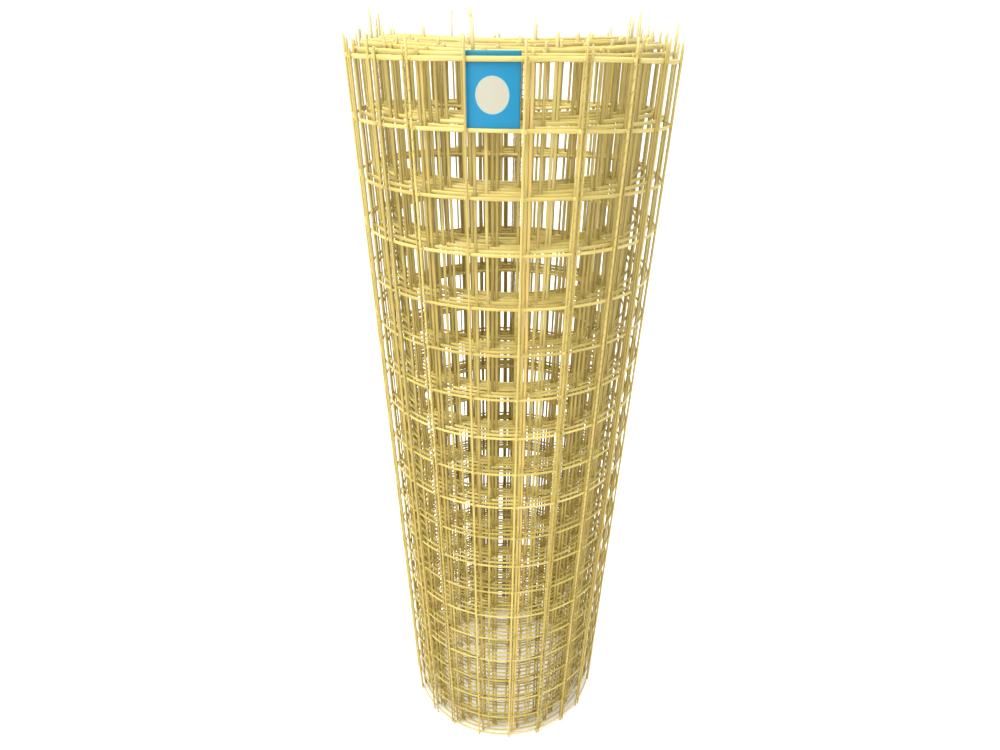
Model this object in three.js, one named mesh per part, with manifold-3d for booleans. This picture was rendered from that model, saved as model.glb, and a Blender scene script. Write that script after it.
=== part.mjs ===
// Roll of fibreglass rebar mesh, standing on its end, with a small card held behind the
// top strand of its outer turn. Millimetres, +Z up. The origin is the centre of the end
// that the roll stands on, and the card faces -Y.

import * as THREE from 'three';
import { mergeVertices } from 'three/addons/utils/BufferGeometryUtils.js';
import Module from 'manifold-3d';

// The mesh: long strands run round the roll, and short rods stand upright on their outside.
const CELL_PITCH = 50;
const STRAND_ROWS = 20;
const STRAND_THICKNESS = 2;
const EDGE_STRAND_HEIGHT = 4.2;
const ROD_THICKNESS = 2.5;
const ROD_WIDTH = 3.3;
const TOP_OVERHANG = 38;
const BOTTOM_OVERHANG = 12;

// The roll: its turns lie one inside the other, and the gaps between them show at both ends.
const OUTER_RADIUS = 165;
const TURN_COUNT = 7;
const TURN_GAP = 1.7;
const END_GAP_DEPTH = 12;
const ROUND_SEGMENTS = 48;

// The card, bent to the roll, and the cell of the outer turn that it shows in.
const CARD_WIDTH = 46;
const CARD_HEIGHT = 56;
const CARD_THICKNESS = 0.5;
const CARD_RISE = 6;
const CARD_ANGLE = THREE.MathUtils.degToRad(-6.5);
const CARD_CLEARANCE = 0.3;
const CELL_MARGIN = 3;

// Sizes worked out from the ones above.
const ROLL_HEIGHT = BOTTOM_OVERHANG + (STRAND_ROWS - 1) * CELL_PITCH + TOP_OVERHANG;
const TOP_STRAND_Z = ROLL_HEIGHT - TOP_OVERHANG;
const TURN_THICKNESS = STRAND_THICKNESS + ROD_THICKNESS;
const TURN_PITCH = TURN_THICKNESS + TURN_GAP;
const BORE_RADIUS = OUTER_RADIUS - TURN_COUNT * TURN_PITCH + TURN_GAP;
const STRAND_OUTER_RADIUS = OUTER_RADIUS - ROD_THICKNESS;
const STRAND_INNER_RADIUS = STRAND_OUTER_RADIUS - STRAND_THICKNESS;
const CARD_OUTER_RADIUS = STRAND_INNER_RADIUS - CARD_CLEARANCE;
const CARD_INNER_RADIUS = CARD_OUTER_RADIUS - CARD_THICKNESS;
const CARD_TOP_Z = TOP_STRAND_Z + CARD_RISE;
const CARD_BOTTOM_Z = CARD_TOP_Z - CARD_HEIGHT;
const CELL_WIDTH = CELL_PITCH - ROD_WIDTH;

const wasm = await Module();
wasm.setup();

function toSolid(geometry) {
  const bare = geometry.clone();
  bare.deleteAttribute('normal');
  bare.deleteAttribute('uv');
  const merged = mergeVertices(bare, 1e-4);
  return new wasm.Manifold(new wasm.Mesh({
    numProp: 3,
    vertProperties: new Float32Array(merged.attributes.position.array),
    triVerts: new Uint32Array(merged.index.array),
  }));
}

function toGeometry(solid) {
  const mesh = solid.getMesh();
  const geometry = new THREE.BufferGeometry();
  geometry.setAttribute('position', new THREE.BufferAttribute(mesh.vertProperties, 3));
  geometry.setIndex(new THREE.BufferAttribute(mesh.triVerts, 1));
  geometry.computeVertexNormals();
  return geometry;
}

// Section through one side of the roll, from the bore outwards along the bottom end and back
// along the top end. Each gap between two turns is a slot in both ends.
function rollSection() {
  const bottom = [];
  const top = [];
  for (let turn = 0; turn < TURN_COUNT; turn += 1) {
    const inner = BORE_RADIUS + turn * TURN_PITCH;
    const outer = inner + TURN_THICKNESS;
    bottom.push([inner, 0], [outer, 0]);
    top.push([inner, ROLL_HEIGHT], [outer, ROLL_HEIGHT]);
    if (turn < TURN_COUNT - 1) {
      const next = outer + TURN_GAP;
      bottom.push([outer, END_GAP_DEPTH], [next, END_GAP_DEPTH]);
      top.push([outer, ROLL_HEIGHT - END_GAP_DEPTH], [next, ROLL_HEIGHT - END_GAP_DEPTH]);
    }
  }
  const loop = [...bottom, ...top.reverse()];
  loop.push(loop[0]);
  return loop.map(([radius, z]) => new THREE.Vector2(radius, z));
}

function rollBody() {
  const geometry = new THREE.LatheGeometry(rollSection(), ROUND_SEGMENTS);
  return toSolid(geometry.rotateX(Math.PI / 2));
}

// A plate bent to the roll: a piece of a ring, centred on the card's angle.
function bentPlate(innerRadius, outerRadius, width, bottomZ, topZ) {
  const middle = CARD_ANGLE - Math.PI / 2;
  const halfAngle = width / 2 / outerRadius;
  const outline = new THREE.Shape();
  outline.absarc(0, 0, outerRadius, middle - halfAngle, middle + halfAngle, false);
  outline.absarc(0, 0, innerRadius, middle + halfAngle, middle - halfAngle, true);
  outline.closePath();
  const geometry = new THREE.ExtrudeGeometry(outline, {
    depth: topZ - bottomZ,
    bevelEnabled: false,
    curveSegments: 6,
  });
  return geometry.translate(0, 0, bottomZ);
}

// The hollow that the card needs: the open cell in front of it, crossed by the top strand that
// holds the card back, and the gap between two turns that the card stands in.
function cardHollow() {
  const cell = toSolid(bentPlate(
    CARD_OUTER_RADIUS, OUTER_RADIUS + CELL_MARGIN, CELL_WIDTH,
    CARD_BOTTOM_Z - CELL_MARGIN, CARD_TOP_Z + CELL_MARGIN,
  ));
  const gap = toSolid(bentPlate(
    CARD_INNER_RADIUS - CARD_CLEARANCE, STRAND_INNER_RADIUS, CARD_WIDTH + 2 * CARD_CLEARANCE,
    CARD_BOTTOM_Z - CARD_CLEARANCE, CARD_TOP_Z + CARD_CLEARANCE,
  ));
  const strand = toSolid(bentPlate(
    STRAND_INNER_RADIUS, STRAND_OUTER_RADIUS, CELL_PITCH,
    TOP_STRAND_Z - EDGE_STRAND_HEIGHT / 2, TOP_STRAND_Z + EDGE_STRAND_HEIGHT / 2,
  ));
  return cell.add(gap).subtract(strand);
}

function namedMesh(name, geometry, material) {
  const mesh = new THREE.Mesh(geometry, material);
  mesh.name = name;
  return mesh;
}

const fibreglass = new THREE.MeshStandardMaterial({ color: 0xdcca7c, roughness: 0.5, metalness: 0 });
const printedCard = new THREE.MeshStandardMaterial({ color: 0x3fa0d2, roughness: 0.4, metalness: 0 });

const roll = new THREE.Group();
roll.add(namedMesh('mesh_roll', toGeometry(rollBody().subtract(cardHollow())), fibreglass));
roll.add(namedMesh(
  'label_card',
  bentPlate(CARD_INNER_RADIUS, CARD_OUTER_RADIUS, CARD_WIDTH, CARD_BOTTOM_Z, CARD_TOP_Z),
  printedCard,
));

export default roll;
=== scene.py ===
"""Looks of a standing roll of fibreglass rebar mesh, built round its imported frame.

Metres, +Z up, the card faces -Y. Angles round the roll are measured from the front (-Y) towards +X.
A winding angle starts at the sheet's outer end and grows by a whole turn for each turn inwards.
"""
import math
from collections import namedtuple

import bpy
import numpy as np
from mathutils import Matrix, Vector


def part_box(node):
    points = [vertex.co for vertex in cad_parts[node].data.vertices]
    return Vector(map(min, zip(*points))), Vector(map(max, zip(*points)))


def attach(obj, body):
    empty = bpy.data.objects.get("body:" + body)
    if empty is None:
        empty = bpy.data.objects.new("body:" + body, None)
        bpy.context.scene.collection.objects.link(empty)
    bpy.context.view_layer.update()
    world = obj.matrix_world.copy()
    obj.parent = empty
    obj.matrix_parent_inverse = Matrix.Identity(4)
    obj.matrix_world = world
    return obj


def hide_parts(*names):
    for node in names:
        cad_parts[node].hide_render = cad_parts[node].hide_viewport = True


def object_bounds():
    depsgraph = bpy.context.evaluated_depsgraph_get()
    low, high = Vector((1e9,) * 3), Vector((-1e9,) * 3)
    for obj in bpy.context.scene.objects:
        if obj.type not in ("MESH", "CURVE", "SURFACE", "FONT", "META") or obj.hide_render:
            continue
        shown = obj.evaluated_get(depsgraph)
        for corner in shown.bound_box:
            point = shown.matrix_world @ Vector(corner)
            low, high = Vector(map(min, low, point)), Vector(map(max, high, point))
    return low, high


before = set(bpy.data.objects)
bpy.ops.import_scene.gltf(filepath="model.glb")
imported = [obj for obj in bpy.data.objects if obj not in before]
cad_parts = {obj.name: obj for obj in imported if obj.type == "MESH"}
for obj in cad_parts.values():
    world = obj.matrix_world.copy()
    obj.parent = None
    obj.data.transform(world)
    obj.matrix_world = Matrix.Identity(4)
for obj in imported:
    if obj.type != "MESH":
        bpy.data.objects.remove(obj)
cad_low, cad_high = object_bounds()

MM = 0.001
TAU = 2 * math.pi
UP = np.array((0, 0, 1.0))
SEED = 20
rng = np.random.default_rng(SEED)

# The mesh: long strands wound round the roll, and upright rods bonded to their outside.
CELL = 50 * MM
ROWS = 20
TOP_OVERHANG = 38 * MM
BOTTOM_OVERHANG = 12 * MM
STRAND_TALL = 3.3 * MM
STRAND_THICK = 2.0 * MM
EDGE_STRAND_TALL = 3.8 * MM
ROD_WIDE = 3.3 * MM
OUTER_ROD_WIDE = 2.4 * MM
THIN_ROD_WIDE = 2.0 * MM
ROD_THICK = 2.5 * MM
ROD_SEAT = 0.5 * MM

# The roll: its outer turns are loose and its inner turns tight. Each turn is round over most of
# its way and steps inwards over the rest.
OUTER_RADIUS = (cad_high.x - cad_low.x) / 2
TURNS = 6.95
LOOSE_TURNS = 3
LOOSE_PITCH = 7.4 * MM
TIGHT_PITCH = 4.9 * MM
STEP_SHARE = 1 / 3
SEAM_ANGLE = math.radians(150)
END_SPRING = 3 * MM
END_SPRING_REACH = math.radians(25)
STRAND_RADIUS = OUTER_RADIUS - ROD_THICK + ROD_SEAT - STRAND_THICK / 2
ROD_OFFSET = STRAND_THICK / 2 + ROD_THICK / 2 - ROD_SEAT

# The sheet is this much longer than its smooth curve, because its turns are not quite round.
WANDER_SLACK = 0.016

# Heights near the top, where the turns have slipped: the inner ones stand high in front and at
# the sides and low behind, and the outer ones hang a little at the sides. It fades downwards. The
# top row has only a share of the right side's hang.
TOP_ROW_Z = cad_high.z - TOP_OVERHANG
FRONT_RISE = 13 * MM
BACK_DROP = 11 * MM
SIDE_RISE = 10 * MM
SIDE_RISE_TURNS = 2.2
SIDE_HANG = 5 * MM
RIGHT_HANG = 6 * MM
TOP_ROW_RIGHT_HANG = 0.12
SLIPPED_ROWS = 8
SLIP_FADE = 1.6

# On the far side each turn has also slipped by a seeded amount, the same in all rows.
FAR_SPREAD = 1.5 * MM
FAR_SIDE_WIND = math.radians(-30)
FAR_SLIPS = rng.uniform(-1, 1, 9)

# Below the top row, even rows sag a little and odd ones rise by a share of that. It fades downwards.
ROW_SAG = 1.8 * MM
ODD_ROW_SAG = -0.5
SAGGING_ROWS = 10

# Wanders: a size, and the lengths of the waves that make it up. A swell is a share of the section.
STRAND_WANDER_OUT = (0.35 * MM, (0.31, 0.13, 0.071))
STRAND_WANDER_UP = (1.0 * MM, (1.63, 0.71, 0.29))
STRAND_SWELL = (0.10, (0.21, 0.087, 0.043))
ROD_WANDER_ASIDE = (0.3 * MM, (0.33, 0.12))
ROD_WANDER_OUT = (0.15 * MM, (0.21, 0.09))
ROD_SWELL = (0.12, (0.17, 0.06))
PAIR_WANDER = (0.4 * MM, (0.27, 0.1))
WEAKEST_WAVE = 0.5

# Fineness of the meshes.
SIDES = 8
THIN_SIDES = 7
FIBRE_SIDES = 4
STEPS_PER_TURN = 84
ROD_STEP = 12 * MM
WINDING_SAMPLES = 4000
BEAD_LEVELS = np.radians([-62, -22, 22, 62])

# Ends of strands and rods: the section is drawn in at the cut. A rod has a full ring close to each
# end, a share of a step away, and it thins out above the top strand. It ends inside the roll's height.
STRAND_CUT_END = 0.57475
ROD_CUT_END = 0.6
FOOT_RING = 0.07
TIP_RING = 0.12
TIP_THINNING = 0.3
THINNING_FROM = 8 * MM
THINNING_LENGTH = 30 * MM
TOP_MARGIN = 0.4 * MM

# Where the rods stand, from one whose place is known. The last one keeps clear of the inner end.
MARK_ROD_ANGLE = math.radians(2.9)
INNER_END_MARGIN = 4 * MM

# How far rods stand above the top strand, in millimetres. Some are tall. The tallest, at the back,
# and the splayed one, in front, stand where the photograph shows them. A rod is one of the front if
# the cosine of its angle is above FRONT_FACING.
TALL_SHARE = 0.17
FRONT_FACING = 0.25
FRONT_OVER = (2.5, 8)
FRONT_TALL_OVER = (9, 15)
BACK_OVER = (5, 12)
BACK_TALL_OVER = (16, 31)
OUTER_OVER = (13, 17)
FOOT_HEIGHTS = (0, 8)
BACK_TALL_ANGLE = math.radians(-154)
SPLAYED_ANGLE = math.radians(-17.5)
SPLAYED_TOP = 988 * MM
SPLAYED_INNER_COST = 1 / 60

# How far rods stray, in millimetres.
OUTER_LEAN = 1.2
INNER_LEAN = 3.5
OUTER_BOW = 0.8
INNER_BOW = 2.0
CURL_ASIDE = 1.2
CURL_OUT = (-1.2, 0.2)

# Tints from 0 to 1 go from dark to light. The one above them marks an orange rod.
STRAND_TINTS = (0.2, 0.8)
OUTER_ROD_TINTS = (0.5, 1.0)
INNER_ROD_TINTS = (0, 0.9)
SECOND_ROD_TINTS = (0, 0.8)
WOUND_ROD_TINTS = (0.2, 0.9)
JOINT_TINTS = (0.2, 0.8)
FRAY_TINTS = (0.5, 1)
SPLAYED_TINT = 0.9
THREAD_TINT = 0
ORANGE_TINT = 2
ORANGE_SHARE = 0.03
ORANGE_ROD_ANGLE = 0
ORANGE_INNER_COST = 1 / 40

# Second rods, more of them and further aside at the sides of the roll. Ranges in millimetres.
PAIRED_SHARE = 0.45
OUTER_PAIRED_SHARE = 0.2
SIDE_PAIRED_SHARE = 0.8
SIDE_PAIR_SPREAD = 9 * MM
SECOND_ROD_ASIDE = (2.8, 5.0)
SECOND_ROD_LOWER = (0, 9)
SECOND_ROD_LEAN = 1.5

# Pairs of rods with a thread wound round both, from above the rods' feet to above the top strand.
# Some are seeded, and three in front are at given angles. No other pair of the outer turn stands
# close to the card.
WOUND_SHARE = 0.07
WOUND_ANGLES = np.radians([-32, 21.45, 39.2])
WOUND_REACH = math.radians(4)
CARD_ANGLE = math.radians(-6.5)
CARD_REACH = math.radians(12)
PAIR_GAP = 4.2 * MM
WOUND_ROD_LOWER = (1, 8)
THREAD_PITCH = 9 * MM
THREAD_STEPS = 10
THREAD_WIDE = 0.65 * MM
THREAD_START = 4 * MM
THREAD_END = 6 * MM

# Loose fibres at the rods' cut tops, tapered to a share of their width. Ranges in millimetres.
FRAY_COUNTS = (1, 4)
FRAY_LENGTHS = (2, 7)
FRAY_WIDTHS = (0.3, 0.7)
FRAY_SPREAD_ASIDE = 0.22
FRAY_SPREAD_OUT = 0.12
FRAY_POINTS = 5
FRAY_TAPER = 0.35
FRAY_ROOT = 3 * MM
FRAY_MARGIN = 0.2 * MM
FRAY_TIP_MARGIN = 0.1 * MM
SPLAYED_FIBRES = 11
SPLAY = 1.7

# Resin joints: half sizes, how far they stand out, and how much they vary.
JOINT_HALF_WIDE = 2.9 * MM
JOINT_TALL_SHARE = 0.62
JOINT_PROUD = 2.3 * MM
OUTER_JOINT_PROUD = 1.5 * MM
JOINT_SCATTER = (-0.3, 0.3)
JOINT_SCALES = (0.85, 1.1)

# Dark, middle and light resin of the strands and of the rods, and their places on the ramp. The two sets
# are lit and shaded copies of one resin: the rods' tones are the strands' made darker, painted shade for
# upright rods that catch less of the light from above.
LIT_STRAND_TONES = ((0.28, 0.192, 0.017), (0.42, 0.322, 0.056), (0.54, 0.440, 0.128))
SHADED_ROD_TONES = ((0.25, 0.166, 0.015), (0.37, 0.272, 0.044), (0.49, 0.388, 0.100))
TONE_PLACES = (0.28, 0.5, 0.72)
ORANGE = (0.56, 0.31, 0.045)
ORANGE_MIX = 0.45
ORANGE_ABOVE = 1.5
PALE = (0.62, 0.57, 0.31)

# Noises of the fibreglass: how often each repeats round a fibre and in each metre along it, and
# how much it weighs in the tone. The tint pulls the tone too, up to a limit on the light side.
STREAKS = (9, 45)
BLOTCHES = (1.5, 28)
GRAIN = (14, 700)
SLOW_CHANGES = (0, 1.7)
TINT_OFFSET = 91.7
STREAK_WEIGHT = 0.6
BLOTCH_WEIGHT = 0.4
SLOW_WEIGHT = 0.5
STRAND_TINT_PULL = 0.26
ROD_TINT_PULL = 0.34
FRAY_TINT_PULL = 0.1
MOST_TINT_SHIFT = 0.2

# Painted light: the roll is made a little paler towards its top, where the light from above is stronger.
# The rods are pale above the top strand.
PAINTED_LIGHT_FROM = 0.45
PAINTED_TOP_LIGHT = 0.15
PALE_FROM = 2 * MM
PALE_TO = 26 * MM
END_PALING = 0.85

# Satin gloss and relief of the fibreglass.
ROUGHNESS = 0.32
GRAIN_ROUGHNESS = 0.3
GRAIN_RELIEF = 0.4
RELIEF_STRENGTH = 0.5
RELIEF_DEPTH = 0.25 * MM
RESIN_IOR = 1.53
RESIN_SUBSURFACE = 0.15
RESIN_RADIUS = (1.0, 0.75, 0.3)
RESIN_SCALE = 1.5 * MM

# The card, bent to the roll. Its foot bows out, and its side edges curl in.
card_low, card_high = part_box("label_card")
CARD_WIDTH = 46 * MM
CARD_HEIGHT = card_high.z - card_low.z
CARD_RADIUS = 160.1 * MM
CARD_THICKNESS = 0.45 * MM
CARD_COLUMNS = 32
CARD_ROWS = 36
FOOT_FROM = 0.1
FOOT_BOW = 5.5 * MM
EDGE_CURL = 0.2 * MM

# The card's print, and its colours: each pair is mixed by a fine speckle.
DISC_RADIUS = 13.3 * MM
DISC_DROP = 1.6 * MM
DISC_SQUASH = 1.06
RIM_WIDTH = 0.7 * MM
HEADER_HEIGHT = 6.5 * MM
SPECKLE_SCALE = 900
CARD_BLUES = ((0.004, 0.148, 0.275), (0.006, 0.168, 0.305))
HEADER_BLUE = (0.005, 0.158, 0.235)
RIM_GREEN = (0.20, 0.35, 0.33)
DISC_CREAMS = ((0.335, 0.318, 0.252), (0.36, 0.342, 0.272))
CARD_ROUGHNESS = 0.38
CARD_SPECULAR = 0.25
EDGE_CREAMS = ((0.62, 0.64, 0.50), (0.86, 0.85, 0.70))
EDGE_SCALE = 1500
EDGE_ROUGHNESS = 0.8

# The studio: a plain floor, and a sky that is brighter overhead.
FLOOR_HALF = 150
FLOOR_COLOUR = (0.93, 0.93, 0.92)
FLOOR_ROUGHNESS = 0.9
SKY_LOW = 1.1
SKY_HIGH = 1.9

# The camera, fitted to the rows of strands and to the sides of the roll in the photograph. Its axis
# meets the picture this many pixels below the centre. Its angles are in radians.
CAMERA_PLACE = (-9.5 * MM, -733.5 * MM, 967 * MM + BOTTOM_OVERHANG)
CAMERA_DOWN = 0.6393
CAMERA_ROLL = 0.0074
FOCAL_PIXELS = 602.5
PHOTO_WIDTH = 1000
SENSOR_WIDTH = 36
AXIS_BELOW_CENTRE = 105.5
CLIP_START = 0.01

# The two ends of a rod, its lean and bow sideways, and how its free end curls (aside, outwards).
RodShape = namedtuple("RodShape", "top bottom lean bow curl")


# Shape of the wound sheet

def smooth(x):
    x = np.clip(x, 0, 1)
    return x * x * (3 - 2 * x)


def turn_radius(wind):
    """Radius of a strand's centre line at a winding angle."""
    wind = np.asarray(wind)
    turns = wind / TAU
    whole = np.floor(turns)
    done = whole + smooth((turns - whole - (1 - STEP_SHARE)) / STEP_SHARE)
    depth = LOOSE_PITCH * np.minimum(done, LOOSE_TURNS) + TIGHT_PITCH * np.maximum(done - LOOSE_TURNS, 0)
    spring = END_SPRING * np.clip(1 - wind / END_SPRING_REACH, 0, 1) ** 2
    return STRAND_RADIUS - depth + spring


def round_angle(wind):
    """Angle round the roll at a winding angle."""
    return SEAM_ANGLE - np.asarray(wind)


def angle_gap(wind, angle):
    """How far a winding angle's place round the roll is from another angle."""
    return np.abs((round_angle(wind) - angle + math.pi) % TAU - math.pi)


def outwards(angle):
    """Unit vector outwards at an angle round the roll, or one for each of several angles."""
    return np.stack([np.sin(angle), -np.cos(angle), np.zeros_like(angle)], -1)


def row_height(row):
    """Height of a row of strands before its slip. Row 0 is the top one, and doesn't sag."""
    share = 1 if row % 2 == 0 else ODD_ROW_SAG
    sag = ROW_SAG * share * max(0, 1 - row / SAGGING_ROWS) if row else 0
    return TOP_ROW_Z - row * CELL - sag


def slip(wind, row):
    """How far a strand of one row has slipped up (+) or down (-) at a winding angle."""
    wind = np.asarray(wind)
    inner = wind / (TAU * TURNS)
    angle = round_angle(wind)
    fade = np.clip(1 - row / SLIPPED_ROWS, 0, 1) ** SLIP_FADE
    front = np.cos(angle)
    sideways = np.sin(angle)
    rise = np.where(front > 0, FRONT_RISE, BACK_DROP) * front * fade
    side_rise = SIDE_RISE * sideways ** 2 * fade * np.minimum(wind / TAU / SIDE_RISE_TURNS, 1)
    hang = SIDE_HANG * sideways ** 2 * fade
    right_hang = RIGHT_HANG * np.clip(sideways, 0, 1) ** 2 * (fade if row else TOP_ROW_RIGHT_HANG)
    turn = (wind - FAR_SIDE_WIND) / TAU
    far = FAR_SPREAD * np.interp(turn, np.arange(len(FAR_SLIPS)), FAR_SLIPS) * (1 - front) / 2
    return inner * rise + side_rise - (1 - inner) ** 2 * (hang + right_hang) + far


def waves(x, wander):
    """A smooth seeded wander along x, made of a few sine waves."""
    size, lengths = wander
    x = np.asarray(x, float)
    total = np.zeros_like(x)
    for length in lengths:
        total += np.sin(TAU * x / length + rng.uniform(0, TAU)) * rng.uniform(WEAKEST_WAVE, 1)
    return size * total / len(lengths)


def random_mm(limits):
    """A seeded length between two limits that are given in millimetres."""
    return rng.uniform(*limits) * MM


def cut_ends(count, end_scale):
    """Scale of a section along a strand or rod: full, but drawn in at the very ends."""
    scale = np.ones(count)
    scale[[0, -1]] = end_scale
    return scale


def add_object(name, data):
    new_object = bpy.data.objects.new(name, data)
    bpy.context.scene.collection.objects.link(new_object)
    return new_object


class Bundle:
    """Many closed tubes gathered into one mesh, with a map that runs along each tube."""

    def __init__(self):
        self.points = []
        self.faces = []
        self.sizes = []
        self.maps = []
        self.tints = []
        self.count = 0

    def add_tube(self, path, out, half_side, half_out, sides, tint, along=None):
        """Adds a tube round the points of a path.

        out is the direction of the section's thickness, half_side and half_out are its half sizes,
        and along is how far down the map each point lies: the length of the path, if it isn't given.
        """
        path = np.asarray(path, float)
        n = len(path)
        step = np.gradient(path, axis=0)
        step /= np.linalg.norm(step, axis=1)[:, None]
        out = np.broadcast_to(np.asarray(out, float), path.shape)
        out = out - step * np.sum(out * step, axis=1)[:, None]
        out = out / np.linalg.norm(out, axis=1)[:, None]
        side = np.cross(out, step)
        theta = TAU * np.arange(sides) / sides
        half_side = np.broadcast_to(half_side, (n,))
        half_out = np.broadcast_to(half_out, (n,))
        rings = (
            path[:, None, :]
            + (np.cos(theta)[None, :] * half_side[:, None])[:, :, None] * side[:, None, :]
            + (np.sin(theta)[None, :] * half_out[:, None])[:, :, None] * out[:, None, :]
        )
        self.points.append(rings.reshape(-1, 3))
        i, j = np.meshgrid(np.arange(n - 1), np.arange(sides), indexing="ij")
        k = (j + 1) % sides
        quads = np.stack([i * sides + j, i * sides + k, (i + 1) * sides + k, (i + 1) * sides + j], -1)
        self.faces.append(quads.reshape(-1) + self.count)
        self.sizes.append(np.full((n - 1) * sides, 4))
        if along is None:
            along = np.concatenate([[0], np.cumsum(np.linalg.norm(np.diff(path, axis=0), axis=1))])
        u0, u1 = j / sides, (j + 1) / sides
        v0, v1 = along[i], along[i + 1]
        corners = np.stack([u0, v0, u1, v0, u1, v1, u0, v1], -1)
        self.maps.append(corners.reshape(-1))
        for ring, order in ((0, range(sides - 1, -1, -1)), (n - 1, range(sides))):
            self.faces.append(np.array([ring * sides + q for q in order]) + self.count)
            self.sizes.append(np.array([sides]))
            self.maps.append(np.tile([0.5, float(along[ring])], sides))
        self.tints.append(np.full((n - 1) * sides + 2, tint))
        self.count += n * sides

    def add_bead(self, centre, out, halves, tint):
        """A small resin bead: a rounded lump whose half sizes are given aside, upwards and outwards."""
        path = centre + np.outer(np.sin(BEAD_LEVELS) * halves[1], UP)
        shrink = np.cos(BEAD_LEVELS)
        self.add_tube(path, out, halves[0] * shrink, halves[2] * shrink, THIN_SIDES, tint)

    def build(self, name, material):
        mesh = bpy.data.meshes.new(name)
        points = np.concatenate(self.points)
        loops = np.concatenate(self.faces).astype(np.int32)
        sizes = np.concatenate(self.sizes).astype(np.int32)
        mesh.vertices.add(len(points))
        mesh.vertices.foreach_set("co", points.reshape(-1).astype(np.float32))
        mesh.loops.add(len(loops))
        mesh.loops.foreach_set("vertex_index", loops)
        mesh.polygons.add(len(sizes))
        starts = np.concatenate([[0], np.cumsum(sizes)[:-1]]).astype(np.int32)
        mesh.polygons.foreach_set("loop_start", starts)
        mesh.update(calc_edges=True)
        mesh.polygons.foreach_set("use_smooth", np.ones(len(sizes), bool))
        layer = mesh.uv_layers.new(name="Fibre")
        layer.data.foreach_set("uv", np.concatenate(self.maps).astype(np.float32))
        tint = mesh.attributes.new("tint", "FLOAT", "FACE")
        tint.data.foreach_set("value", np.concatenate(self.tints).astype(np.float32))
        mesh.validate()
        mesh.materials.append(material)
        return add_object(name, mesh)


# Materials

def new_material(name):
    material = bpy.data.materials.new(name)
    material.use_nodes = True
    tree = material.node_tree
    return material, tree, tree.nodes["Principled BSDF"]


def ramp(tree, factor, stops):
    node = tree.nodes.new("ShaderNodeValToRGB")
    while len(node.color_ramp.elements) < len(stops):
        node.color_ramp.elements.new(0.5)
    for element, (place, colour) in zip(node.color_ramp.elements, stops):
        element.position = place
        element.color = (*colour, 1)
    tree.links.new(factor, node.inputs["Fac"])
    return node.outputs["Color"]


def math_node(tree, operation, a, b):
    node = tree.nodes.new("ShaderNodeMath")
    node.operation = operation
    for socket, value in zip(node.inputs, (a, b)):
        if isinstance(value, (int, float)):
            socket.default_value = value
        else:
            tree.links.new(value, socket)
    return node.outputs[0]


def scaled(tree, value, scale):
    return math_node(tree, "MULTIPLY", value, scale)


def added(tree, a, b):
    return math_node(tree, "ADD", a, b)


def from_middle(tree, value, scale):
    """A value that runs from 0 to 1, measured from its middle and scaled."""
    return scaled(tree, math_node(tree, "SUBTRACT", value, 0.5), scale)


def noise(tree, vector, scale, detail, rough=0.5):
    node = tree.nodes.new("ShaderNodeTexNoise")
    node.inputs["Scale"].default_value = scale
    node.inputs["Detail"].default_value = detail
    node.inputs["Roughness"].default_value = rough
    tree.links.new(vector, node.inputs["Vector"])
    return node.outputs["Fac"]


def mix_colour(tree, factor, a, b):
    node = tree.nodes.new("ShaderNodeMix")
    node.data_type = "RGBA"
    for name, value in (("Factor", factor), ("A", a), ("B", b)):
        socket = next(s for s in node.inputs if s.name == name and s.enabled)
        if isinstance(value, tuple):
            socket.default_value = (*value, 1)
        else:
            tree.links.new(value, socket)
    return next(s for s in node.outputs if s.enabled)


def map_range(tree, value, start, end, most, smoothed=False):
    """Rises from 0 to the most while the value goes from start to end."""
    node = tree.nodes.new("ShaderNodeMapRange")
    node.interpolation_type = "SMOOTHSTEP" if smoothed else "LINEAR"
    node.inputs["From Min"].default_value = start
    node.inputs["From Max"].default_value = end
    node.inputs["To Max"].default_value = most
    tree.links.new(value, node.inputs["Value"])
    return node.outputs["Result"]


def map_places(tree, name):
    """The places on a named map, whole and split into their parts."""
    uv = tree.nodes.new("ShaderNodeUVMap")
    uv.uv_map = name
    split = tree.nodes.new("ShaderNodeSeparateXYZ")
    tree.links.new(uv.outputs["UV"], split.inputs[0])
    return uv.outputs["UV"], split.outputs


def object_place(tree):
    return tree.nodes.new("ShaderNodeTexCoord").outputs["Object"]


def fibre_noise(tree, place, tint, repeats, detail, rough=0.5):
    """Noise drawn out along a fibre. Each strand and rod has its own, set off by its tint."""
    join = tree.nodes.new("ShaderNodeCombineXYZ")
    for axis, repeat in zip("XY", repeats):
        tree.links.new(scaled(tree, place[axis], repeat), join.inputs[axis])
    tree.links.new(scaled(tree, tint, TINT_OFFSET), join.inputs["Z"])
    return noise(tree, join.outputs[0], 1, detail, rough)


def resin_colour(tree, place, tint, streaks, tones, tint_pull):
    """Resin tone from streaks, blotches, slow changes and the tint, with orange where it is marked."""
    blotches = fibre_noise(tree, place, tint, BLOTCHES, detail=2)
    slow = fibre_noise(tree, place, tint, SLOW_CHANGES, detail=1)
    tone = added(tree, scaled(tree, streaks, STREAK_WEIGHT), scaled(tree, blotches, BLOTCH_WEIGHT))
    tone = added(tree, tone, from_middle(tree, slow, SLOW_WEIGHT))
    shift = math_node(tree, "MINIMUM", from_middle(tree, tint, tint_pull), MOST_TINT_SHIFT)
    colour = ramp(tree, added(tree, tone, shift), list(zip(TONE_PLACES, tones)))
    marked = math_node(tree, "GREATER_THAN", tint, ORANGE_ABOVE)
    return mix_colour(tree, scaled(tree, marked, ORANGE_MIX), colour, ORANGE)


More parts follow.
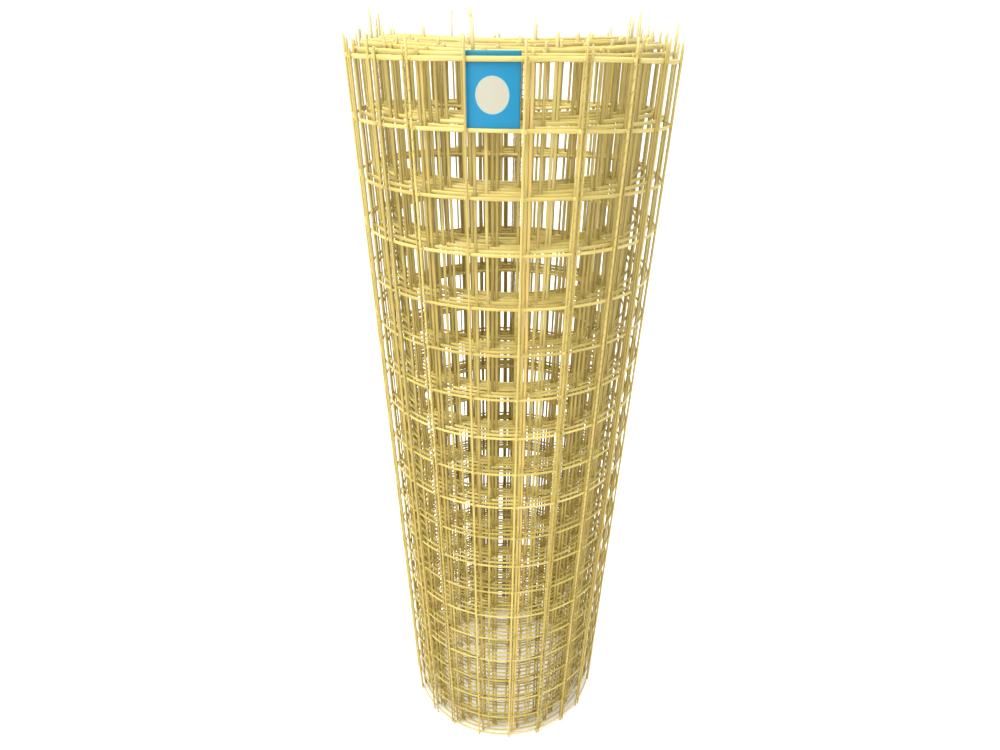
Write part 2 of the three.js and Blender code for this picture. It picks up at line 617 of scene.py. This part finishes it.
def paled_upwards(tree, colour, end_paling):
    """The colour made a little paler towards the roll's top as painted light from above, and paler above
    the top strand.
    """
    split = tree.nodes.new("ShaderNodeSeparateXYZ")
    tree.links.new(object_place(tree), split.inputs[0])
    height = split.outputs["Z"]
    # Painted light: paler towards the top, where the light from above is stronger.
    painted_top_light = map_range(tree, height, PAINTED_LIGHT_FROM, TOP_ROW_Z, PAINTED_TOP_LIGHT)
    paling = map_range(tree, height, TOP_ROW_Z + PALE_FROM, TOP_ROW_Z + PALE_TO, end_paling, smoothed=True)
    return mix_colour(tree, paling, mix_colour(tree, painted_top_light, colour, PALE), PALE)


def fibreglass(name, tones, tint_pull, end_paling):
    """Resin-bound glass fibre: streaks along the fibres, blotches of resin and a satin gloss."""
    material, tree, shader = new_material(name)
    _, place = map_places(tree, "Fibre")
    attribute = tree.nodes.new("ShaderNodeAttribute")
    attribute.attribute_name = "tint"
    tint = attribute.outputs["Fac"]
    streaks = fibre_noise(tree, place, tint, STREAKS, detail=3, rough=0.6)
    grain = fibre_noise(tree, place, tint, GRAIN, detail=2)
    colour = resin_colour(tree, place, tint, streaks, tones, tint_pull)
    tree.links.new(paled_upwards(tree, colour, end_paling), shader.inputs["Base Color"])
    roughness = added(tree, scaled(tree, grain, GRAIN_ROUGHNESS), ROUGHNESS)
    tree.links.new(roughness, shader.inputs["Roughness"])
    bump = tree.nodes.new("ShaderNodeBump")
    bump.inputs["Strength"].default_value = RELIEF_STRENGTH
    bump.inputs["Distance"].default_value = RELIEF_DEPTH
    relief = added(tree, streaks, scaled(tree, grain, GRAIN_RELIEF))
    tree.links.new(relief, bump.inputs["Height"])
    tree.links.new(bump.outputs["Normal"], shader.inputs["Normal"])
    shader.inputs["IOR"].default_value = RESIN_IOR
    shader.inputs["Subsurface Weight"].default_value = RESIN_SUBSURFACE
    shader.inputs["Subsurface Radius"].default_value = RESIN_RADIUS
    shader.inputs["Subsurface Scale"].default_value = RESIN_SCALE
    return material


def card_material():
    """Laminated card: plain blue, with a plain pale disc and a slightly greener band along the top."""
    material, tree, shader = new_material("printed_card")
    uv, split = map_places(tree, "Card")
    disc_place = tree.nodes.new("ShaderNodeMapping")
    disc_place.inputs["Location"].default_value = (0, DISC_DROP * DISC_SQUASH, 0)
    disc_place.inputs["Scale"].default_value = (1, DISC_SQUASH, 1)
    tree.links.new(uv, disc_place.inputs["Vector"])
    distance = tree.nodes.new("ShaderNodeVectorMath")
    distance.operation = "LENGTH"
    tree.links.new(disc_place.outputs["Vector"], distance.inputs[0])
    radius = distance.outputs["Value"]
    speckle = noise(tree, uv, SPECKLE_SCALE, detail=3)
    header = math_node(tree, "GREATER_THAN", split["Y"], CARD_HEIGHT / 2 - HEADER_HEIGHT)
    rim = math_node(tree, "LESS_THAN", radius, DISC_RADIUS + RIM_WIDTH)
    disc = math_node(tree, "LESS_THAN", radius, DISC_RADIUS)
    blue = mix_colour(tree, header, mix_colour(tree, speckle, *CARD_BLUES), HEADER_BLUE)
    face = mix_colour(tree, rim, blue, RIM_GREEN)
    face = mix_colour(tree, disc, face, mix_colour(tree, speckle, *DISC_CREAMS))
    tree.links.new(face, shader.inputs["Base Color"])
    shader.inputs["Roughness"].default_value = CARD_ROUGHNESS
    shader.inputs["Specular IOR Level"].default_value = CARD_SPECULAR
    return material


def edge_material():
    """The bare back and edges of the card."""
    material, tree, shader = new_material("card_edge")
    layers = noise(tree, object_place(tree), EDGE_SCALE, detail=2)
    tree.links.new(mix_colour(tree, layers, *EDGE_CREAMS), shader.inputs["Base Color"])
    shader.inputs["Roughness"].default_value = EDGE_ROUGHNESS
    return material


def floor_material():
    material, _, shader = new_material("floor_plain")
    shader.inputs["Base Color"].default_value = (*FLOOR_COLOUR, 1)
    shader.inputs["Roughness"].default_value = FLOOR_ROUGHNESS
    return material


# Strands

def add_strand(bundle, row):
    """One row's strand, wound from the outer end of the sheet to its inner end."""
    wind = np.linspace(0, TAU * TURNS, int(TURNS * STEPS_PER_TURN) + 1)
    length = wind * STRAND_RADIUS
    radius = turn_radius(wind) + waves(length, STRAND_WANDER_OUT)
    height = row_height(row) + slip(wind, row) + waves(length, STRAND_WANDER_UP)
    out = outwards(round_angle(wind))
    path = out * radius[:, None]
    path[:, 2] = height
    tall = EDGE_STRAND_TALL if row in (0, ROWS - 1) else STRAND_TALL
    swell = (1 + waves(length, STRAND_SWELL)) * cut_ends(len(wind), STRAND_CUT_END)
    half_tall = tall / 2 * swell
    half_thick = STRAND_THICK / 2 * swell
    bundle.add_tube(path, out, half_tall, half_thick, SIDES, rng.uniform(*STRAND_TINTS), length)


# Rods

def rod_winds():
    """Winding angle of each rod: a cell apart along the sheet, with one at the marked angle."""
    wind = np.linspace(0, TAU * TURNS, WINDING_SAMPLES)
    radius = turn_radius(wind)
    steps = np.diff(wind) * (radius[1:] + radius[:-1]) / 2 * (1 + WANDER_SLACK)
    length = np.concatenate([[0], np.cumsum(steps)])
    marked = np.interp(SEAM_ANGLE - MARK_ROD_ANGLE, wind, length)
    places = np.arange(marked % CELL, length[-1] - INNER_END_MARGIN, CELL)
    return np.interp(places, length, wind)


def nearest_rod(winds, allowed, angle, inner_cost):
    """Index of the allowed rod nearest to an angle. Winding further in has a cost for each radian."""
    return int(np.argmin(np.where(allowed, angle_gap(winds, angle) + winds * inner_cost, np.inf)))


def rod_path(wind, shape):
    """Centre line of one rod and the outward direction along it."""
    tall = shape.top - shape.bottom
    height = np.linspace(shape.bottom, shape.top, int(tall / ROD_STEP) + 2)
    share = (height - shape.bottom) / tall
    sideways = shape.lean * (share - 0.5) + shape.bow * np.sin(math.pi * share)
    free = np.clip((height - TOP_ROW_Z) / TOP_OVERHANG, 0, None) ** 2
    radius = turn_radius(wind) + ROD_OFFSET
    aside = sideways + shape.curl[0] * free + waves(height, ROD_WANDER_ASIDE)
    out = outwards(round_angle(wind) + aside / radius)
    path = out * (radius + shape.curl[1] * free + waves(height, ROD_WANDER_OUT))[:, None]
    path[:, 2] = height
    return path, out


def rod_shape(wind, fixed_top):
    """Seeded shape of the rod at a winding angle. Its top can be given."""
    is_outer = wind < TAU
    is_tall = rng.uniform() < TALL_SHARE
    if math.cos(round_angle(wind)) > FRONT_FACING:
        over = random_mm(FRONT_TALL_OVER if is_tall else FRONT_OVER)
    else:
        over = random_mm(BACK_TALL_OVER if is_tall else BACK_OVER)
    if is_outer:
        over = random_mm(OUTER_OVER)
    top = fixed_top or (TOP_ROW_Z + float(slip(wind, 0)) + over)
    bottom = random_mm(FOOT_HEIGHTS)
    lean = rng.normal(0, OUTER_LEAN if is_outer else INNER_LEAN) * MM
    bow = rng.normal(0, OUTER_BOW if is_outer else INNER_BOW) * MM
    curl = (rng.normal(0, CURL_ASIDE) * MM, random_mm(CURL_OUT))
    return RodShape(min(top, cad_high.z - TOP_MARGIN), bottom, lean, bow, curl)


def add_plain_rod(bundle, wind, shape, tint):
    path, out = rod_path(wind, shape)
    foot_ring = path[:1] + (path[1:2] - path[:1]) * FOOT_RING
    tip_ring = path[-1:] + (path[-2:-1] - path[-1:]) * TIP_RING
    path = np.concatenate([path[:1], foot_ring, path[1:-1], tip_ring, path[-1:]])
    out = np.concatenate([out[:1], out[:1], out[1:-1], out[-1:], out[-1:]])
    height = path[:, 2]
    swell = (1 + waves(height, ROD_SWELL)) * cut_ends(len(path), ROD_CUT_END)
    thin = 1 - TIP_THINNING * np.clip((height - TOP_ROW_Z - THINNING_FROM) / THINNING_LENGTH, 0, 1)
    wide = OUTER_ROD_WIDE if wind < TAU else ROD_WIDE
    bundle.add_tube(path, out, wide / 2 * swell * thin, ROD_THICK / 2 * swell * thin, SIDES, tint)


def add_wound_pair(rods, threads, wind, shape, tint, hand):
    """A thinner rod beside a plain one, and the thread that is wound round both of them."""
    lower = shape._replace(top=shape.top - random_mm(WOUND_ROD_LOWER))
    path, out = rod_path(wind, lower)
    side = np.cross(out, UP)
    beside = path + side * (hand * PAIR_GAP + waves(path[:, 2], PAIR_WANDER))[:, None]
    half_thin = THIN_ROD_WIDE / 2 * cut_ends(len(beside), ROD_CUT_END)
    rods.add_tube(beside, out, half_thin, half_thin, THIN_SIDES, tint)
    height = np.arange(lower.bottom + THREAD_START, TOP_ROW_Z + THREAD_END, THREAD_PITCH / THREAD_STEPS)
    middle = path + side * hand * PAIR_GAP / 2
    axis = np.stack([np.interp(height, path[:, 2], middle[:, k]) for k in range(3)], -1)
    axis += side[0] * hand * (THIN_ROD_WIDE - ROD_WIDE) / 4
    turn = TAU * height / THREAD_PITCH + rng.uniform(0, TAU)
    aside = side[0] * np.cos(turn)[:, None]
    forward = out[0] * np.sin(turn)[:, None]
    half_pair = (PAIR_GAP + ROD_WIDE / 2 + THIN_ROD_WIDE / 2) / 2
    line = axis + aside * (half_pair + THREAD_WIDE / 4) + forward * (ROD_THICK / 2 + THREAD_WIDE / 4)
    threads.add_tube(line, aside + forward, THREAD_WIDE / 2, THREAD_WIDE / 2, FIBRE_SIDES, THREAD_TINT)


def add_second_rod(bundle, wind, shape, hand):
    """A plain rod a little aside of another, and further aside at the sides of the roll."""
    spread = SIDE_PAIR_SPREAD * math.sin(round_angle(wind)) ** 2
    aside = hand * (random_mm(SECOND_ROD_ASIDE) + spread * rng.uniform(0, 1))
    second = shape._replace(
        top=shape.top - random_mm(SECOND_ROD_LOWER),
        lean=shape.lean + rng.normal(0, SECOND_ROD_LEAN) * MM,
    )
    add_plain_rod(bundle, wind + aside / turn_radius(wind), second, rng.uniform(*SECOND_ROD_TINTS))


def add_frayed_end(bundle, wind, shape, tint, count, splay):
    """Loose fibres that stand out of a rod's cut top end."""
    path, out = rod_path(wind, shape)
    tip = path[-1]
    upward = path[-1] - path[-2]
    upward /= np.linalg.norm(upward)
    side = np.cross(out[-1], upward)
    share = np.linspace(0, 1, FRAY_POINTS)[:, None]
    for _ in range(count):
        length = random_mm(FRAY_LENGTHS) * splay
        length = min(length, cad_high.z - FRAY_MARGIN - tip[2] + FRAY_ROOT)
        spread_aside = rng.normal(0, FRAY_SPREAD_ASIDE) * splay * side
        spread = spread_aside + rng.normal(0, FRAY_SPREAD_OUT) * out[-1]
        start = tip - upward * FRAY_ROOT + side * rng.uniform(-1, 1) * MM
        line = start + (upward + spread * share) * length * share
        line[:, 2] = np.minimum(line[:, 2], cad_high.z - FRAY_TIP_MARGIN)
        width = random_mm(FRAY_WIDTHS) * np.linspace(1, FRAY_TAPER, FRAY_POINTS)
        bundle.add_tube(line, out[-1], width, width, FIBRE_SIDES, tint)


def second_rod_share(wind):
    """Share of the rods at a winding angle that have a second rod beside them, wound or plain."""
    facing_side = math.sin(round_angle(wind)) ** 2
    plain = OUTER_PAIRED_SHARE if wind < TAU else PAIRED_SHARE
    return WOUND_SHARE + SIDE_PAIRED_SHARE * facing_side + plain


def add_joint(bundle, row, wind):
    """The resin bead where a rod crosses one row's strand."""
    out = outwards(np.array([round_angle(wind)]))[0]
    centre = out * (turn_radius(wind) + STRAND_THICK / 2)
    centre[2] = row_height(row) + float(slip(wind, row)) + random_mm(JOINT_SCATTER)
    proud = OUTER_JOINT_PROUD if wind < TAU else JOINT_PROUD
    halves = np.array([JOINT_HALF_WIDE, STRAND_TALL * JOINT_TALL_SHARE, proud])
    bundle.add_bead(centre, out, halves * rng.uniform(*JOINT_SCALES), rng.uniform(*JOINT_TINTS))


# The mesh, in the order of its random draws

upper_strands, lower_strands = Bundle(), Bundle()
for row in range(ROWS):
    add_strand(upper_strands if row < ROWS / 2 else lower_strands, row)

winds = rod_winds()
tallest_rod = nearest_rod(winds, winds < 2 * TAU, BACK_TALL_ANGLE, 0)
splayed_rod = nearest_rod(winds, winds > TAU, SPLAYED_ANGLE, SPLAYED_INNER_COST)
orange_rod = nearest_rod(winds, winds > TAU, ORANGE_ROD_ANGLE, ORANGE_INNER_COST)
fixed_tops = {tallest_rod: cad_high.z - TOP_MARGIN, splayed_rod: SPLAYED_TOP}
outer_rods, inner_rods, second_rods, threads, frays = (Bundle() for _ in range(5))
for index, wind in enumerate(winds):
    is_outer = wind < TAU
    tint = rng.uniform(*(OUTER_ROD_TINTS if is_outer else INNER_ROD_TINTS))
    if index == orange_rod or (rng.uniform() < ORANGE_SHARE and not is_outer):
        tint = ORANGE_TINT
    shape = rod_shape(wind, fixed_tops.get(index))
    add_plain_rod(outer_rods if index < len(winds) / 2 else inner_rods, wind, shape, tint)
    if index == splayed_rod:
        add_frayed_end(frays, wind, shape, SPLAYED_TINT, SPLAYED_FIBRES, SPLAY)
    else:
        add_frayed_end(frays, wind, shape, rng.uniform(*FRAY_TINTS), rng.integers(*FRAY_COUNTS), 1)
    hand = rng.choice((-1, 1))
    chance = rng.uniform()
    is_marked = is_outer and min(angle_gap(wind, angle) for angle in WOUND_ANGLES) < WOUND_REACH
    if is_marked:
        hand = 1 if round_angle(wind) < 0 else -1
    if is_marked or (chance < WOUND_SHARE and not is_outer):
        add_wound_pair(second_rods, threads, wind, shape, rng.uniform(*WOUND_ROD_TINTS), hand)
    elif is_outer and angle_gap(wind, CARD_ANGLE) < CARD_REACH:
        continue
    elif chance < second_rod_share(wind):
        add_second_rod(second_rods, wind, shape, hand)

joints = Bundle()
for row in range(ROWS):
    for wind in winds:
        add_joint(joints, row, wind)

# Strands, joints and frayed ends get the lit tones, and rods and threads get the shaded ones: painted
# light and painted shade.
lit_strand_material = fibreglass("fibreglass_strand", LIT_STRAND_TONES, STRAND_TINT_PULL, 0)
shaded_rod_material = fibreglass("fibreglass_rod", SHADED_ROD_TONES, ROD_TINT_PULL, END_PALING)
fray_material = fibreglass("fibreglass_frayed", LIT_STRAND_TONES, FRAY_TINT_PULL, END_PALING)
for name, bundle, material in (
    ("long_strands_upper", upper_strands, lit_strand_material),
    ("long_strands_lower", lower_strands, lit_strand_material),
    ("rods_outer_turns", outer_rods, shaded_rod_material),
    ("rods_inner_turns", inner_rods, shaded_rod_material),
    ("second_rods", second_rods, shaded_rod_material),
    ("winding_threads", threads, shaded_rod_material),
    ("resin_joints", joints, lit_strand_material),
    ("frayed_ends", frays, fray_material),
):
    piece = bundle.build(name, material)
    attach(piece, "root")
    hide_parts("mesh_roll")


# Card

def card_point(u, v, depth):
    """Point of the card. u and v run from -0.5 to 0.5 across it and up it, and depth goes inwards."""
    foot = max(0, -v - FOOT_FROM) ** 2 * FOOT_BOW
    curl = EDGE_CURL * abs(u * 2) ** 3
    angle = CARD_ANGLE + u * CARD_WIDTH / CARD_RADIUS
    radius = CARD_RADIUS - depth + foot - curl
    height = (card_low.z + card_high.z) / 2 + v * CARD_HEIGHT
    return radius * math.sin(angle), -radius * math.cos(angle), height


def card_mesh():
    """The card: a front and a back, with edges between them. Its map is in metres from its middle."""
    across = np.linspace(-0.5, 0.5, CARD_COLUMNS + 1)
    upward = np.linspace(-0.5, 0.5, CARD_ROWS + 1)
    points = [card_point(u, v, depth) for depth in (0, CARD_THICKNESS) for v in upward for u in across]
    row = len(across)
    back = row * len(upward)
    faces = []
    slots = []
    for j in range(CARD_ROWS):
        for i in range(CARD_COLUMNS):
            a = j * row + i
            b = a + back
            faces += [(a, a + 1, a + 1 + row, a + row), (b, b + row, b + row + 1, b + 1)]
            slots += [0, 1]
    edge = list(range(row))
    edge += [j * row + CARD_COLUMNS for j in range(1, CARD_ROWS + 1)]
    edge += [CARD_ROWS * row + i for i in range(CARD_COLUMNS - 1, -1, -1)]
    edge += [j * row for j in range(CARD_ROWS - 1, 0, -1)]
    for a, b in zip(edge, edge[1:] + edge[:1]):
        faces.append((a, a + back, b + back, b))
        slots.append(1)
    corners = np.array([corner % back for face in faces for corner in face])
    places = np.stack([across[corners % row] * CARD_WIDTH, upward[corners // row] * CARD_HEIGHT], -1)
    mesh = bpy.data.meshes.new("label_card_piece")
    mesh.from_pydata(points, [], faces)
    mesh.uv_layers.new(name="Card").data.foreach_set("uv", places.astype(np.float32).reshape(-1))
    mesh.materials.append(card_material())
    mesh.materials.append(edge_material())
    mesh.polygons.foreach_set("material_index", slots)
    mesh.polygons.foreach_set("use_smooth", [slot == 0 for slot in slots])
    mesh.update()
    return mesh


card = add_object("label_card_piece", card_mesh())
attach(card, "root")
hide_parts("label_card")


# Floor, light and camera

def floor_piece():
    corners = [(x * FLOOR_HALF, y * FLOOR_HALF, 0) for x, y in ((-1, -1), (1, -1), (1, 1), (-1, 1))]
    mesh = bpy.data.meshes.new("floor")
    mesh.from_pydata(corners, [], [(0, 1, 2, 3)])
    mesh.materials.append(floor_material())
    return add_object("floor", mesh)


floor_piece()


def area_light(name, place, aim, size, power, colour):
    data = bpy.data.lights.new(name, "AREA")
    data.shape = "DISK"
    data.size = size
    data.energy = power
    data.color = colour
    light = add_object(name, data)
    light.location = place
    light.rotation_euler = (Vector(aim) - Vector(place)).to_track_quat("-Z", "Y").to_euler()


area_light("key_light", place=(-1.3, -1.2, 2.9), aim=(0, 0, 0.6), size=1.5, power=70,
           colour=(1.0, 0.98, 0.95))
area_light("fill_light", place=(-1.0, -2.0, 1.3), aim=(0, 0, 0.5), size=1.2, power=7,
           colour=(1.0, 0.98, 0.94))
area_light("bore_light", place=(0, 0.05, 3.6), aim=(0, 0, 0), size=0.8, power=34,
           colour=(1.0, 0.99, 0.97))


def studio_world():
    """White light from all round, stronger from overhead."""
    world = bpy.data.worlds.new("studio")
    world.use_nodes = True
    tree = world.node_tree
    sky = tree.nodes["Background"]
    sky.inputs["Color"].default_value = (1, 1, 1, 1)
    place = tree.nodes.new("ShaderNodeTexCoord")
    split = tree.nodes.new("ShaderNodeSeparateXYZ")
    tree.links.new(place.outputs["Generated"], split.inputs[0])
    strength = tree.nodes.new("ShaderNodeMapRange")
    strength.inputs["From Max"].default_value = 1
    strength.inputs["To Min"].default_value = SKY_LOW
    strength.inputs["To Max"].default_value = SKY_HIGH
    tree.links.new(split.outputs["Z"], strength.inputs["Value"])
    tree.links.new(strength.outputs["Result"], sky.inputs["Strength"])
    return world


def photo_camera():
    """A camera with the photograph's place, direction and framing."""
    data = bpy.data.cameras.new("camera")
    data.sensor_width = SENSOR_WIDTH
    data.lens = FOCAL_PIXELS / PHOTO_WIDTH * SENSOR_WIDTH
    data.shift_y = AXIS_BELOW_CENTRE / PHOTO_WIDTH
    data.clip_start = CLIP_START
    camera = add_object("camera", data)
    camera.matrix_world = (
        Matrix.Translation(CAMERA_PLACE)
        @ Matrix.Rotation(math.pi / 2 - CAMERA_DOWN, 4, "X")
        @ Matrix.Rotation(CAMERA_ROLL, 4, "Z")
    )
    return camera


bpy.context.scene.world = studio_world()
bpy.context.scene.view_settings.view_transform = "Standard"
bpy.context.scene.camera = photo_camera()
